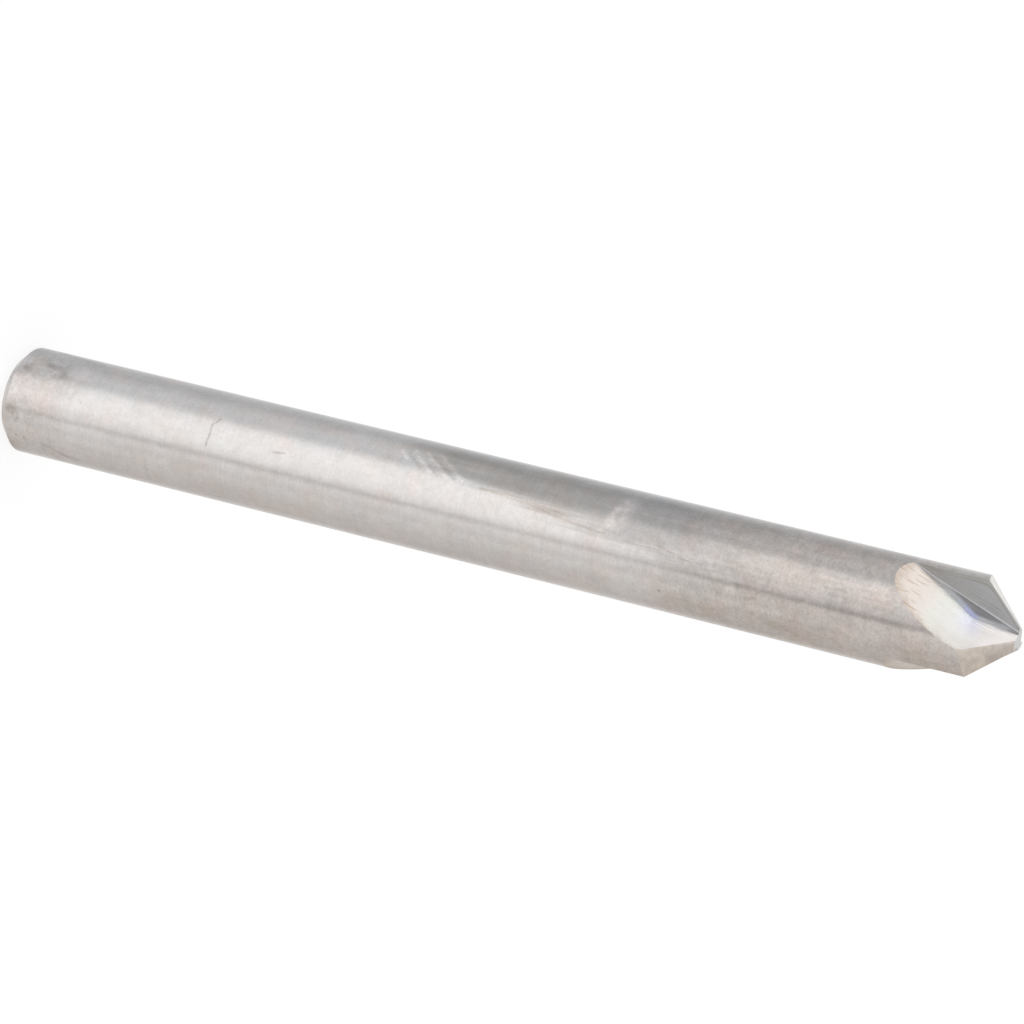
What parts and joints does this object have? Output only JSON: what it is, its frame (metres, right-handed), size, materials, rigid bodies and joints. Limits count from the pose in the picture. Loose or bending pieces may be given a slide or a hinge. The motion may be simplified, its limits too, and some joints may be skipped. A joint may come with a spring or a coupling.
{
  "type": "chamfer mill",
  "caption": "Solid carbide chamfer mill: a plain round shank, straight ground flutes and a 100 degree point that cuts chamfers and countersinks.",
  "frame": {"origin": "centre of the shank's end face, which the tool stands on", "axes": "+Z along the tool's axis, from the shank end to the point; the picture's camera is on the -Y side"},
  "size_m": [0.0064, 0.0064, 0.0635],
  "materials": {
    "ground_carbide": "fine ground, satin"
  },
  "bodies": {
    "root": {"chamfer_mill": "ground_carbide"}
  },
  "joints": []
}
